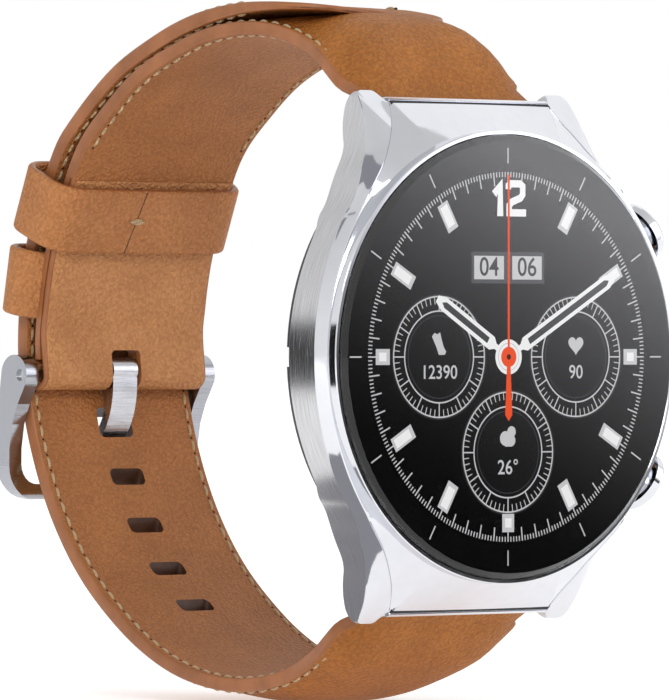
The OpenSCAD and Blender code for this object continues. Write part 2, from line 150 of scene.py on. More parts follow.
class Path:
    """A centre line in (Y, Z) that is walked by distance. side is 1 where its outward
    side is the left of travel, and -1 where it is the right."""

    def __init__(self, points, side):
        self.line = smooth_line(points, 8)
        self.side = side
        self.at = [0.0]
        for a, b in zip(self.line, self.line[1:]):
            self.at.append(self.at[-1] + (b - a).length)
        self.length = self.at[-1]

    def point(self, s):
        s = min(max(s, 0), self.length)
        i = min(bisect.bisect_right(self.at, s), len(self.at) - 1) - 1
        share = (s - self.at[i]) / (self.at[i + 1] - self.at[i])
        return self.line[i].lerp(self.line[i + 1], share)

    def heading(self, s):
        reach = 0.6
        return (self.point(s + reach) - self.point(s - reach)).normalized()

    def place(self, s, x, n):
        """Point at the distance s, x across and n outward of the centre line."""
        h = self.heading(s)
        p = self.point(s) + Vector((-h.y, h.x)) * (n * self.side)
        return Vector((x, p.x, p.y))


UPPER = Path([(BAR.y, BAR.z), (1.3, 26.6), (6.1, 30.05), (12, 32.25), (18, 32.85),
              (24.1, 32.2), (30.2, 30.3), (34.6, 28.35), (38.8, 25.45), (42.9, 21.9),
              (45.6, 17.6), (48.7, 10.3), (50.1, 3.2), (50.2, -0.3)], 1)
LOWER = Path([(BAR.y, -BAR.z), (1.6, -26.4), (6, -29.4), (11.7, -31.85), (18, -32.85),
              (24.3, -32.4), (30.3, -30.75), (36.5, -27.5), (42.9, -22.4),
              (47.7, -16.3), (51, -9.45), (52.7, -3), (53.05, 3.2), (51.7, 11.6),
              (47.7, 20.2), (44.5, 23.9), (38.2, 28.7), (31.8, 31.7), (25.5, 33.8),
              (19.4, 34.8), (13.6, 35), (8, 34.8)], -1)
SLOT_USED = 68.2
SLOT_PITCH = 5.9


# --- meshes ---
def new_piece(name, points, faces, materials, kinds=None, crease=32):
    """A closed piece from points in millimetres. kinds gives each face's material."""
    mesh = bpy.data.meshes.new(name)
    mesh.from_pydata([[c * MM for c in p] for p in points], [], faces)
    for m in materials:
        mesh.materials.append(m)
    if kinds:
        mesh.polygons.foreach_set("material_index", kinds)
    tidy_mesh(mesh, crease)
    return new_object(name, mesh)


def new_object(name, data):
    item = bpy.data.objects.new(name, data)
    bpy.context.scene.collection.objects.link(item)
    return item


def tidy_mesh(mesh, crease):
    """Normals outward, smooth shading, sharp past the crease angle."""
    work = bmesh.new()
    work.from_mesh(mesh)
    bmesh.ops.recalc_face_normals(work, faces=work.faces)
    work.to_mesh(mesh)
    work.free()
    mesh.shade_smooth()
    mesh.set_sharp_from_angle(angle=radians(crease))


def loft(rings, closed=False):
    """Points and faces of a skin through rings of equal count: capped, or closed round."""
    n = len(rings[0])
    points = [p for ring in rings for p in ring]
    pairs = [(r, r + 1) for r in range(len(rings) - 1)]
    if closed:
        pairs.append((len(rings) - 1, 0))
    faces = [(a * n + i, a * n + (i + 1) % n, b * n + (i + 1) % n, b * n + i)
             for a, b in pairs for i in range(n)]
    if not closed:
        faces.append(tuple(range(n)))
        faces.append(tuple(range(len(points) - n, len(points))))
    return points, faces


def turned(name, outline, materials=(), closed=False, crease=32):
    """An outline in (radius, Y) turned about the dial's axis."""
    rings = [[(r * cos(a), y, r * sin(a)) for a in turns(192)] for r, y in outline]
    return new_piece(name, *loft(rings, closed), materials, crease=crease)


def prism(name, outline, x0, x1, *materials):
    """An outline in (Y, Z) drawn from x0 to x1."""
    rings = [[(x, y, z) for y, z in outline] for x in (x0, x1)]
    return new_piece(name, *loft(rings), materials)


def move(piece, matrix):
    """Moves a piece's mesh by a matrix in millimetres."""
    scaled = matrix.copy()
    scaled.translation = matrix.translation * MM
    piece.data.transform(scaled)
    return piece


def cut(piece, *cutters, crease=STRAP_CREASE):
    """Takes the cutters out of the piece. The cut faces take a cutter's material."""
    for cutter in cutters:
        modifier = piece.modifiers.new("cut", "BOOLEAN")
        modifier.operation = "DIFFERENCE"
        modifier.solver = "EXACT"
        modifier.object = cutter
        modifier.material_mode = "TRANSFER" if cutter.data.materials else "INDEX"
        graph = bpy.context.evaluated_depsgraph_get()
        mesh = bpy.data.meshes.new_from_object(piece.evaluated_get(graph))
        piece.modifiers.clear()
        piece.data = mesh
        bpy.data.objects.remove(cutter)
    tidy_mesh(piece.data, crease)
    return piece


def round_edges(piece, width):
    """Rounds the sharp edges as a modifier."""
    bevel = piece.modifiers.new("rounded", "BEVEL")
    bevel.width = width * MM
    bevel.segments = 3
    bevel.limit_method = "ANGLE"
    bevel.angle_limit = radians(35)
    bevel.harden_normals = True


def settle(piece, body, slot, *nodes):
    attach(piece, body)
    if nodes:
        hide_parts(*nodes)
    return piece


# --- materials ---
def shader(name, **sockets):
    """A material with its Principled sockets set (words are joined as in Base_Color), and
    the place that its textures start from."""
    material = bpy.data.materials.new(name)
    material.use_nodes = True
    bsdf = material.node_tree.nodes["Principled BSDF"]
    for socket, value in sockets.items():
        bsdf.inputs[socket.replace("_", " ")].default_value = value
    tree = material.node_tree
    return material, tree, bsdf, add(tree, "TexCoord").outputs["Object"]


def add(tree, kind, inputs=(), **settings):
    """A node with its settings, and its inputs set or linked."""
    node = tree.nodes.new("ShaderNode" + kind)
    for key, value in settings.items():
        setattr(node, key, value)
    for key, value in dict(inputs).items():
        if isinstance(value, bpy.types.NodeSocket):
            tree.links.new(value, node.inputs[key])
        else:
            node.inputs[key].default_value = value
    return node


def noise(tree, vector, size, detail=3.0):
    """Noise whose blotches are about size millimetres across."""
    inputs = {"Vector": vector, "Scale": 1 / (size * MM), "Detail": detail}
    return add(tree, "TexNoise", inputs).outputs["Fac"]


def spread(tree, value, low_in, high_in, low_out, high_out):
    inputs = {"Value": value, "From Min": low_in, "From Max": high_in,
              "To Min": low_out, "To Max": high_out}
    return add(tree, "MapRange", inputs).outputs["Result"]


def calc(tree, operation, *values):
    node = add(tree, "Math", dict(enumerate(values)), operation=operation)
    return node.outputs["Value"]


def vary(tree, value, low_out, high_out):
    """A noise's usual values spread from low_out to high_out."""
    return spread(tree, value, 0.3, 0.7, low_out, high_out)


def mix(tree, factor, first, second):
    inputs = {"Fac": factor, "Color1": first, "Color2": second}
    return add(tree, "MixRGB", inputs).outputs["Color"]


def bump(tree, bsdf, height, depth):
    inputs = {"Height": height, "Distance": depth * MM}
    feed(tree, bsdf, Normal=add(tree, "Bump", inputs).outputs["Normal"])


def feed(tree, node, **outputs):
    """Links outputs into a node's sockets: words are joined as in Base_Color."""
    for socket, output in outputs.items():
        tree.links.new(output, node.inputs[socket.replace("_", " ")])


def shaded(colour, share):
    return tuple(share * c for c in colour[:3]) + (1.0,)


def linear(red, green, blue):
    """A screen colour, 0 to 255, as the linear colour that nodes take."""
    def one(c):
        c = c / 255
        return c / 12.92 if c <= 0.04045 else ((c + 0.055) / 1.055) ** 2.4
    return (one(red), one(green), one(blue), 1.0)


def leather(name, light, dark, grain, depth):
    """Pebbled leather: round grains with painted shade in the valleys between them, and uneven
    dye.
    """
    material, tree, bsdf, place = shader(name, Specular_IOR_Level=0.22)
    warp = add(tree, "TexNoise", {"Vector": place, "Scale": 1 / (1.3 * grain * MM)})
    shifted = add(tree, "VectorMath", {0: warp.outputs["Color"], 1: (grain * MM,) * 3, 2: place},
                  operation="MULTIPLY_ADD").outputs["Vector"]
    cells = add(tree, "TexVoronoi", {"Vector": shifted, "Scale": 1 / (grain * MM),
                                     "Smoothness": 0.6}, feature="SMOOTH_F1").outputs["Distance"]
    pebble = spread(tree, cells, 0.1, 0.7, 1.0, 0.0)
    fine = noise(tree, place, 0.16, 4.0)
    bump(tree, bsdf, calc(tree, "MULTIPLY_ADD", fine, 0.35, pebble), depth)
    dye = vary(tree, noise(tree, place, 7.0), 0.0, 1.0)
    body = mix(tree, dye, light, mix(tree, 0.35, light, dark))
    # painted shade: the colour darkens in the valleys between the grains
    valley_shade = spread(tree, cells, 0.2, 0.75, 0.0, 0.45)
    feed(tree, bsdf, Base_Color=mix(tree, valley_shade, body, dark),
         Roughness=vary(tree, fine, 0.48, 0.64))
    return material


def edge_paint(name, light, dark):
    """Smooth painted leather edge, a little uneven along its length."""
    material, tree, bsdf, place = shader(name, Specular_IOR_Level=0.45)
    blotch = vary(tree, noise(tree, place, 3.0), 0.0, 1.0)
    feed(tree, bsdf, Base_Color=mix(tree, blotch, light, dark),
         Roughness=vary(tree, noise(tree, place, 0.5), 0.3, 0.48))
    bump(tree, bsdf, noise(tree, place, 0.6), 0.03)
    return material


def brushed(name, light, dark, rough, about_dial=True):
    """Brushed steel: fine scratches round the dial's axis, or along X."""
    material, tree, bsdf, place = shader(name, Metallic=1.0, Anisotropic=0.35)
    parts = add(tree, "SeparateXYZ", {"Vector": place}).outputs
    if about_dial:
        run, stretch, third = calc(tree, "ARCTAN2", parts["Z"], parts["X"]), 0.0006, 0.0
    else:
        run, stretch, third = parts["X"], 0.04, parts["Z"]
    along = calc(tree, "MULTIPLY", run, stretch)
    vector = add(tree, "CombineXYZ", {"X": parts["Y"], "Y": along, "Z": third}).outputs["Vector"]
    scratch = noise(tree, vector, 0.1, 4.0)
    feed(tree, bsdf, Base_Color=mix(tree, vary(tree, scratch, 0.0, 1.0), light, dark),
         Roughness=vary(tree, scratch, rough - 0.06, rough + 0.08))
    bump(tree, bsdf, scratch, 0.006)
    tangent = add(tree, "Tangent", direction_type="RADIAL", axis="Y")
    feed(tree, bsdf, Tangent=tangent.outputs["Tangent"])
    return material


def polished(name, colour, rough):
    """Polished steel with the faintest haze."""
    material, tree, bsdf, place = shader(name, Metallic=1.0)
    haze = noise(tree, place, 1.4)
    feed(tree, bsdf, Base_Color=mix(tree, haze, colour, shaded(colour, 0.93)),
         Roughness=vary(tree, haze, rough, rough + 0.05))
    return material


def moulded(name, colour, rough, metallic=0.0, grain=0.25, depth=0.006):
    """Moulded or coated surface: slightly uneven in tone, with a fine grain."""
    material, tree, bsdf, place = shader(name, Metallic=metallic)
    tone = vary(tree, noise(tree, place, 2.5), 0.0, 1.0)
    fine = noise(tree, place, grain)
    feed(tree, bsdf, Base_Color=mix(tree, tone, colour, shaded(colour, 0.82)),
         Roughness=vary(tree, fine, rough - 0.05, rough + 0.07))
    bump(tree, bsdf, fine, depth)
    return material


def lit(name, colour):
    """Lit part of the screen, with a trace of unevenness in the light."""
    material, tree, bsdf, place = shader(
        name, Roughness=0.6, Emission_Strength=1.0, Base_Color=(0.002, 0.002, 0.002, 1.0),
        Specular_IOR_Level=0.0)
    cloud = noise(tree, place, 0.8)
    feed(tree, bsdf, Emission_Color=mix(tree, cloud, colour, shaded(colour, 0.9)))
    return material


def crystal_glass():
    """Clear cover glass that reflects at its front and hardly bends what is behind."""
    material, tree, bsdf, place = shader(
        "crystal_glass", Transmission_Weight=1.0, IOR=1.01, Base_Color=(1, 1, 1, 1),
        Coat_Weight=1.0, Coat_IOR=1.5, Coat_Roughness=0.02)
    cloud = noise(tree, place, 5.0)
    feed(tree, bsdf, Roughness=vary(tree, cloud, 0.0, 0.004))
    return material


def thread_material():
    """Twisted waxed thread."""
    material, tree, bsdf, place = shader("thread", Roughness=0.75, Sheen_Weight=0.3)
    twist = add(tree, "TexWave", {"Vector": place, "Scale": 2600.0,
                                  "Distortion": 2.0}, bands_direction="DIAGONAL").outputs["Fac"]
    feed(tree, bsdf, Base_Color=mix(tree, twist, linear(206, 180, 138), linear(150, 122, 84)))
    bump(tree, bsdf, twist, 0.02)
    return material


LEATHER = leather("leather_tan", linear(184, 116, 50), linear(112, 60, 18), 0.38, 0.17)
# lighter copy of the strap's leather for the keepers: painted light
LIT_KEEPER_LEATHER = leather("leather_keeper_lit", linear(198, 134, 82), linear(130, 76, 36), 0.38, 0.16)
# lighter copy of the strap's leather for the fold round the buckle's pin: painted light
LIT_FOLD_LEATHER = leather("leather_fold_lit", linear(214, 152, 98), linear(142, 86, 46), 0.38, 0.16)
LINING = leather("leather_lining", linear(184, 120, 68), linear(120, 70, 34), 0.34, 0.12)
EDGE = edge_paint("leather_edge", linear(160, 100, 58), linear(138, 83, 44))
# dark edge paint of the slots, made darker still to paint the shade inside them
SLOT_WALL_PAINT_AND_SHADE = edge_paint("slot_wall_paint_and_shade", linear(84, 50, 30), linear(60, 34, 19))
# near black: painted shade in the stitch holes, and the dark joint of the keeper's seam
HOLE_SHADE_AND_SEAM = moulded("stitch_hole_shade_and_seam", linear(38, 24, 14), 0.8)
THREAD = thread_material()
BRUSHED = brushed("steel_brushed", (0.68, 0.68, 0.7, 1), (0.52, 0.52, 0.54, 1), 0.2)
BRUSHED_X = brushed("steel_brushed_flat", (0.62, 0.62, 0.65, 1), (0.5, 0.5, 0.53, 1),
                    0.26, about_dial=False)
POLISHED = polished("steel_polished", (0.76, 0.77, 0.81, 1), 0.07)
# darker copy of the brushed steel for the buckle frame: painted shade that dims its reflections
SHADED_BUCKLE_STEEL = brushed("steel_buckle_shaded", (0.46, 0.47, 0.51, 1), (0.36, 0.37, 0.4, 1), 0.16,
                       about_dial=False)
DARK_METAL = moulded("steel_dark", (0.2, 0.2, 0.21, 1), 0.3, 1.0)
PLASTIC = moulded("plastic_inner", (0.05, 0.055, 0.06, 1), 0.5)
COVER_PLASTIC = moulded("plastic_back", (0.035, 0.036, 0.04, 1), 0.35)
# black rubber of the seals, used also as painted shade in the lip groove
BLACK_RUBBER_AND_GROOVE_SHADE = moulded("rubber_black_and_groove_shade", (0.015, 0.015, 0.015, 1), 0.7)
BOARD = moulded("board_green", (0.01, 0.12, 0.05, 1), 0.45)
WRAP = moulded("battery_wrap", (0.03, 0.03, 0.035, 1), 0.4)
COPPER = moulded("copper", (0.75, 0.36, 0.18, 1), 0.3, 1.0)
GLASS = crystal_glass()
WINDOW = moulded("window_black", (0.006, 0.006, 0.008, 1), 0.08, grain=2.0, depth=0.0)
DIAL = lit("dial_black", (0.0005, 0.0005, 0.0006, 1))


# --- case ---
# Front view of one lug, in (x, z), from where it leaves the round case to its inner side
LUG_OUTLINE = [*smooth_line([(18.8, 13.67), (17.45, 15.36), (16.2, 18), (15.1, 20), (14.5, 22),
                             (14.05, 24), (13.85, 25.2)], 5),
               *arc((12.95, 25.2), 0.9, 10, 90, 6), *arc((11.8, 25.2), 0.9, 90, 178, 6),
               (10.6, LIP_Z), (0, LIP_Z)]
# The crease between the bridge and the bevel of the lug: (angle, radius, depth behind dial)
CREASE = [(0, 22.42, 1.18), (20, 22.5, 1.16), (32, 22.75, 1.14), (40.4, 23.0, 1.16),
          (43.6, 23.2, 1.24), (47.9, 23.42, 1.5), (52, 23.65, 1.95), (56.9, 24.2, 2.75),
          (61.5, 25.1, 3.7), (64.1, 25.8, 4.5), (66.4, 26.7, 5.35), (67.6, 27.4, 5.95)]
# Front and back edges of the case's side: (height, depth behind the dial)
SIDE_FRONT = [(0, 1.96), (8, 2.2), (13, 2.75), (16, 2.95), (18, 3.3), (20, 3.9), (22, 4.6),
              (24, 5.5), (25.5, 6.5), (26.2, 7.05)]
SIDE_BACK = [(0, 5.9), (11, 5.9), (13.6, 6.6), (16, 7.1), (18.5, 7.2), (20.6, 7.5),
             (22.5, 8.2), (24.3, 8.4), (25.4, 8.0), (26.2, 7.3)]
# Rows of the case's skin that make its brushed side, counted from the bezel
SIDE_ROWS = (10, 11, 12)
# Angles where the lug leaves the round case, and where the bridge's lip begins
LUG_STARTS = 37.0
LIP_STARTS = 67.6
# Lip line in (along, above) the bridge's slope: half its width, its depth, and the top of the dark
# solid of painted shade in it
LINE_HALF = 0.2
LINE_DEPTH = 0.3
GROOVE_SHADE_TOP = -0.08
LINE_END = 10.45


def depth_line(pairs):
    return [tuple(p) for p in smooth_line(pairs, 6)]


def ray_radius(outline, angle):
    """Distance from the dial's axis to an outline in (x, z), along an angle in degrees."""
    ray = Vector((cos(radians(angle)), sin(radians(angle))))
    for a, b in zip(outline, outline[1:]):
        a, b = Vector(a), Vector(b)
        side = b - a
        turn = ray.x * side.y - ray.y * side.x
        if abs(turn) < 1e-9:
            continue
        t = (a.x * side.y - a.y * side.x) / turn
        share = (a.x * ray.y - a.y * ray.x) / turn
        if -1e-6 <= share <= 1 + 1e-6 and t > 0:
            return t
    return CASE_R


def quadrant_angles():
    """Angles of the case's rings in one quadrant, closer together over the lug."""
    runs = ((0, 1.5, 24), (36, 1, 22), (58, 0.3, 40), (70, 1.25, 17))
    return [start + pitch * k for start, pitch, count in runs for k in range(count)]


def case_column(a, front, back, crease):
    """Points (radius, depth behind the dial) of the case's skin at one angle."""
    bezel_edge, line = 1.14, 0.07
    outer = ray_radius(LUG_OUTLINE, a) if a > LUG_STARTS else CASE_R
    height = outer * sin(radians(a))
    front_y, back_y = between(height, front), between(height, back)
    if a < LIP_STARTS:
        fold = between(a, [(p[0], p[1]) for p in crease])
        fold_y = between(a, [(p[0], p[2]) for p in crease])
    else:
        fold, fold_y = outer - 0.3, LIP_Y - DIAL_Y - 0.45
        front_y = LIP_Y - DIAL_Y
    fold = min(fold, outer - 0.2)
    fold_y = min(fold_y, front_y - 0.08)
    column = [(12, BEZEL_Y - DIAL_Y), (BEZEL_R, BEZEL_Y - DIAL_Y)]
    column += [(BEZEL_R + (fold - BEZEL_R) * t, bezel_edge + (fold_y - bezel_edge) * t)
               for t in (0.33, 0.66)]
    groove = 0.14 * ease(a, 41, 46)
    column += [(fold - line, fold_y - 0.02), (fold, fold_y + groove),
               (fold + line, fold_y + 0.03)]
    column += [(fold + (outer - fold) * t, fold_y + (front_y - fold_y) * t)
               for t in (0.35, 0.7)]
    column += [(outer - 0.07, front_y - 0.05), (outer, front_y + 0.06)]
    column += [(outer, front_y + (back_y - front_y) * t) for t in (0.3, 0.6)]
    column += [(outer, back_y - 0.07), (outer - 0.08, back_y)]
    for r in (0.75, 0.5, 0.25, 0):
        radius = COVER_R - 0.6 + (outer - COVER_R + 0.5) * r
        column.append((radius, between(radius * sin(radians(a)), back)))
    return [*column, (12, 5.9)]


def case_rings():
    """Rings of the case from the bezel outward over the front and round to the back."""
    front, back, crease = [depth_line(line) for line in (SIDE_FRONT, SIDE_BACK, CREASE)]
    quarter = [(a, case_column(a, front, back, crease)) for a in quadrant_angles()]
    half = quarter[:-1] + [(180 - a, c) for a, c in reversed(quarter[1:])]
    around = half + [(180 + a, c) for a, c in half]
    return [[(c[k][0] * cos(radians(a)), DIAL_Y + c[k][1],
              c[k][0] * sin(radians(a))) for a, c in around]
            for k in range(len(quarter[0][1]))]


def about_x(degrees, y, z):
    """Turns a piece about X, then carries its origin to (y, z)."""
    return Matrix.Translation((0, y, z)) @ Matrix.Rotation(radians(degrees), 4, "X")


def along_pusher(side):
    """Turns a piece made about the dial's axis so that its -Y runs out along a pusher."""
    turn = Matrix.Rotation(radians(90 - side * PUSHER_ANGLE), 4, "Y")
    return Matrix.Translation((0, PUSHER_Y, 0)) @ turn @ Matrix.Rotation(radians(-90), 4, "X")


def on_lip(side, corners):
    """Corners in (along, above) the bridge's slope, laid by its lip in (y, z)."""
    y, z = LIP_Y - 0.62, LIP_Z - 0.4
    slope = Vector((LIP_Y - BEZEL_Y, LIP_Z - BEZEL_R)).normalized()
    return [(y + slope.x * u - slope.y * v, side * (z + slope.y * u + slope.x * v))
            for u, v in corners]


def lug_cutters(side):
    """Room for a strap's end, the bar's tips, the lip line and a pusher."""
    pocket = [*arc((BAR.y, BAR.z), 1.75, 90, 270, 24), (3, BAR.z - 1.75), (3, 30), (BAR.y, 30)]
    hole = circle((BAR.y, side * BAR.z), 0.45, 24)
    w, d = LINE_HALF, LINE_DEPTH
    groove = on_lip(side, ((-w, -d), (w, -d), (w, 1), (-w, 1)))
    cutters = [prism("pocket", [(y, side * z) for y, z in pocket], -LUG_IN, LUG_IN),
               prism("hole", hole, -LUG_IN - 1.3, LUG_IN + 1.3),
               prism("groove", groove, -LINE_END, LINE_END)]
    for name, radius, floor in (("bore", 0.95, -18), ("recess", 2.6, -23.05)):
        cutters.append(move(turned(name, [(radius, -24.6), (radius, floor)]),
                            along_pusher(side)))
    return cutters


def make_lip_groove_shade(name, side):
    """Dark solid in the groove along the bridge's lip: painted shade in the groove."""
    w, d, end = LINE_HALF - 0.01, LINE_DEPTH - 0.01, LINE_END - 0.03
    line = on_lip(side, ((-w, -d), (w, -d), (w, GROOVE_SHADE_TOP), (-w, GROOVE_SHADE_TOP)))
    return settle(prism(name, line, -end, end, BLACK_RUBBER_AND_GROOVE_SHADE), BODY, "rubber")


def make_case():
    rings = case_rings()
    points, faces = loft(rings)
    kinds = []
    for face in faces:
        row = face[0] // len(rings[0])
        in_gap = all(abs(points[i][0]) < LUG_IN and abs(points[i][2]) > LIP_Z - 1 for i in face)
        kinds.append(1 if row in SIDE_ROWS and not in_gap else 0)
    case = new_piece("case_shell", points, faces, [POLISHED, BRUSHED], kinds)
    seat = turned("cover_seat", [(COVER_R + FIT, BACK_Y), (COVER_R + FIT, 3)])
    for side in (-1, 1):
        z = side * (COVER_FLAT + FIT)
        cut(seat, prism("flat", [(-8, z), (6, z), (6, side * 30), (-8, side * 30)], -30, 30),
            crease=32)
    cut(case, turned("seat", [(GLASS_R + FIT, -14), (GLASS_R + FIT, SHOULDER_Y)]),
        turned("cavity", [(CAVITY_R, SHOULDER_Y - 1), (CAVITY_R, 2)]), seat,
        *lug_cutters(-1), *lug_cutters(1), crease=25)
    return settle(case, BODY, "brushed_steel", "case_body")


def make_collar(name, side):
    """Bright collar that the pusher slides in."""
    outline = [(0.95, -22.4), (2.9, -22.4), (2.9, -23.55), (2.78, -23.7), (2.5, -23.7),
               (2.4, -23.6), (2.4, -23.15), (0.95, -23.15)]
    collar = turned(name, outline, [POLISHED], closed=True)
    move(collar, along_pusher(side))
    return settle(collar, BODY, "polished_steel")


def make_crystal():
    crystal = turned("crystal", [(GLASS_R, DIAL_Y - 0.12), (GLASS_R, DIAL_Y - 0.02),
                                 (GLASS_R - 0.58, GLASS_FRONT), (GLASS_R - 3, GLASS_FRONT)],
                     [GLASS], crease=20)
    settle(crystal, BODY, "cover_glass", "cover_glass")
    rim = GLASS_R - 0.02
    face = turned("dial_face", [(rim, DIAL_Y), (rim, DIAL_Y + 0.66)], [DIAL])
    settle(face, BODY, "window_glass")


# --- dial print ---
# Height of one printed layer over the next, and thickness of a plate in it
LAYER = 0.012
PLATE_T = 0.6 * LAYER


def front_of(layer):
    return DIAL_Y - 0.004 - LAYER * (layer + 1)


class Print:
    """Small solids of one tone, gathered into one piece."""

    def __init__(self, name, material, slot="dial_print", body=BODY):
        self.name, self.material, self.slot, self.body = name, material, slot, body
        self.points, self.faces = [], []

    def solid(self, points, faces):
        start = len(self.points)
        self.points += points
        self.faces += [tuple(start + i for i in face) for face in faces]

    def plate(self, outline, layer):
        """A plate with an outline in (x, z)."""
        front = front_of(layer)
        self.solid(*loft([[(x, y, z) for x, z in outline] for y in (front + PLATE_T, front)]))

    def ring(self, middle, inner, outer, layer):
        front = front_of(layer)
        back = front + PLATE_T
        rings = [[(x, y, z) for x, z in circle(middle, r, 96)]
                 for r, y in ((inner, front), (outer, front), (outer, back), (inner, back))]
        self.solid(*loft(rings, closed=True))

    def disc(self, middle, radius, layer, n=64):
        self.plate(circle(middle, radius, n), layer)

    def shape(self, angle, corners, layer, middle=(0, 0)):
        """Corners in (outward, across) turned to a clock angle in degrees."""
        out = Vector((sin(radians(angle)), cos(radians(angle))))
        across = Vector((out.y, -out.x))
        self.plate([tuple(Vector(middle) + out * u + across * v) for u, v in corners], layer)

    def bar(self, angle, near, far, width, layer, middle=(0, 0)):
        """A bar from the middle outward, at a clock angle."""
        half = width / 2
        self.shape(angle, [(near, -half), (far, -half), (far, half), (near, half)], layer,
                   middle)

    def stroke(self, line, width, layer):
        """A band of even width along a line of (x, z) points."""
        line = [Vector(p) for p in line]
        left, right = [], []
        for i, p in enumerate(line):
            before = (p - line[i - 1]).normalized() if i else (line[1] - p).normalized()
            after = (line[i + 1] - p).normalized() if i + 1 < len(line) else before
            along = (before + after).normalized()
            side = Vector((-along.y, along.x)) * (width / 2 / max(along.dot(before), 0.5))
            left.append(tuple(p + side))
            right.append(tuple(p - side))
        self.plate(left + right[::-1], layer)

    def digits(self, text, size, middle, layer, weight):
        """Plain digits, centred on a point."""
        curve = bpy.data.curves.new("digits", "FONT")
        curve.body, curve.size, curve.offset = text, size, weight
        curve.align_x, curve.align_y = "CENTER", "CENTER"
        curve.resolution_u = 4
        curve.extrude = PLATE_T / 2
        text_object = bpy.data.objects.new("digits", curve)
        mesh = bpy.data.meshes.new_from_object(text_object)
        y = front_of(layer) + PLATE_T / 2
        points = [(middle[0] + v.co.x, y - v.co.z, middle[1] + v.co.y) for v in mesh.vertices]
        self.solid(points, [tuple(f.vertices) for f in mesh.polygons])
        bpy.data.objects.remove(text_object)

    def done(self):
        piece = new_piece(self.name, self.points, self.faces, [self.material])
        return settle(piece, self.body, self.slot)


def hand_outline(length):
    half = 0.72
    return [(1.3, -0.3), (2.0, -0.3), (2.55, -half), (length - 1.0, -half), (length, -0.5 * half),
            (length, 0.5 * half), (length - 1.0, half), (2.55, half), (2.0, 0.3), (1.3, 0.3)]


def screen(tone, colour, slot="dial_print"):
    return Print("dial_" + tone, lit("screen_" + tone, linear(*colour)), slot)


def make_dial_print():
    white = screen("white", (246, 246, 246))
    silver = screen("silver", (205, 205, 207))
    dim = screen("dim", (74, 75, 78))
    dark = screen("dark", (14, 14, 15))
    slate = screen("slate", (58, 58, 60))
    orange = screen("orange", (240, 84, 40), "dial_accent")
    pin = screen("pin", (70, 30, 18), "dial_accent")

    # hour marks by the rim, and the minute track inside them
    track = 18.15
    for k in range(12):
        silver.bar(30 * k, 19.0, 20.5, 0.14, 1)
    for k in range(300):
        tall, wide = (0.5, 0.12) if k % 5 else (1.35, 0.14)
        silver.bar(1.2 * k, track - tall, track, wide, 1)
    for hour in (1, 2, 4, 5, 7, 8, 10, 11):
        silver.bar(30 * hour, 14.3, 17.25, 1.45, 3)
        white.bar(30 * hour, 14.75, 16.95, 0.95, 4)
    for hour in (3, 6, 9):
        silver.bar(30 * hour, 15.4, 17.2, 1.55, 3)
        white.bar(30 * hour, 15.85, 16.75, 0.85, 4)

    # numeral 12: a flagged bar and a square-shouldered two
    white.stroke([(-1.85, 15.95), (-1.05, 16.75), (-1.05, 13.8)], 0.8, 3)
    two = [(0.0, 16.45), (0.02, 16.8), (0.35, 17.0), (1.55, 17.0), (1.9, 16.75), (1.9, 15.95),
           (1.6, 15.6), (0.45, 15.2), (0.12, 14.85), (0.12, 14.15), (2.35, 14.15)]
    white.stroke(two, 0.72, 4)

    # date window: a frame with two light panes
    date_z, half = 8.75, 1.95
    dim.plate([(-4.8, 7.2), (4.8, 7.2), (4.8, 10.3), (-4.8, 10.3)], 1)
    for x, text in ((-2.5, "04"), (2.5, "06")):
        silver.plate([(x - half, 7.6), (x + half, 7.6), (x + half, 9.9), (x - half, 9.9)], 2)
        slate.digits(text, 2.6, (x, date_z), 3, 0.02)

    # three small dials
    small = [((-9.0, 0.0), "12390", 1.9), ((9.0, 0.0), "90", 1.9), ((0.0, -9.35), "26°", 2.0)]
    for middle, text, size in small:
        dark.disc(middle, 6.25, 0, 96)
        slate.ring(middle, 5.98, 6.1, 1)
        silver.ring(middle, 5.82, 5.96, 1)
        silver.ring(middle, 4.4, 4.54, 1)
        dim.ring(middle, 4.0, 4.06, 1)
        for k in range(60):
            near, far, wide = (5.15, 5.84, 0.09) if k % 5 else (4.5, 5.86, 0.13)
            silver.bar(6 * k, near, far, wide, 1, middle)
        silver.digits(text, size, (middle[0], middle[1] - 1.55), 2, 0.012)
    # icons: a heart, a shoe and a cloud
    heart = []
    for t in turns(40):
        wide = 16 * sin(t) ** 3
        tall = 13 * cos(t) - 5 * cos(2 * t) - 2 * cos(3 * t) - cos(4 * t)
        heart.append((9.0 + wide / 16, 1.2 + tall / 16))
    silver.plate(heart, 2)
    silver.plate([(-9.95, 2.0), (-9.6, 2.35), (-9.25, 2.2), (-8.9, 2.4), (-8.7, 1.7),
                  (-8.45, 1.0), (-8.1, 0.5), (-8.3, 0.2), (-9.05, 0.2), (-9.35, 0.9)], 2)
    silver.disc((0.45, -7.35), 0.55, 2)
    silver.disc((-0.35, -8.0), 0.72, 2)
    silver.disc((0.35, -8.2), 0.6, 2)
    silver.bar(90, -0.4, 0.4, 0.9, 2, (0, -8.35))

    # hour and minute hands: white frames round dark slots
    for angle, length in ((301.5, 10.9), (60.5, 16.1)):
        white.shape(angle, hand_outline(length), 6)
        slot = [(3.1, -0.32), (length - 1.25, -0.32), (length - 0.75, 0), (length - 1.25, 0.32),
                (3.1, 0.32)]
        slate.shape(angle, slot, 7)
    white.disc((0, 0), 1.73, 8)
    silver.ring((0, 0), 1.3, 1.38, 9)
    orange.bar(0, 0, 17.9, 0.26, 10)
    orange.shape(180, [(0, -0.2), (5.7, -0.46), (6.3, 0), (5.7, 0.46), (0, 0.2)], 10)
    orange.disc((0, 0), 1.0, 10)
    pin.disc((0, 0), 0.27, 11)
    for layer in (white, silver, dim, dark, slate, orange, pin):
        layer.done()


# --- strap ---
TIP_CORNER = 5.5
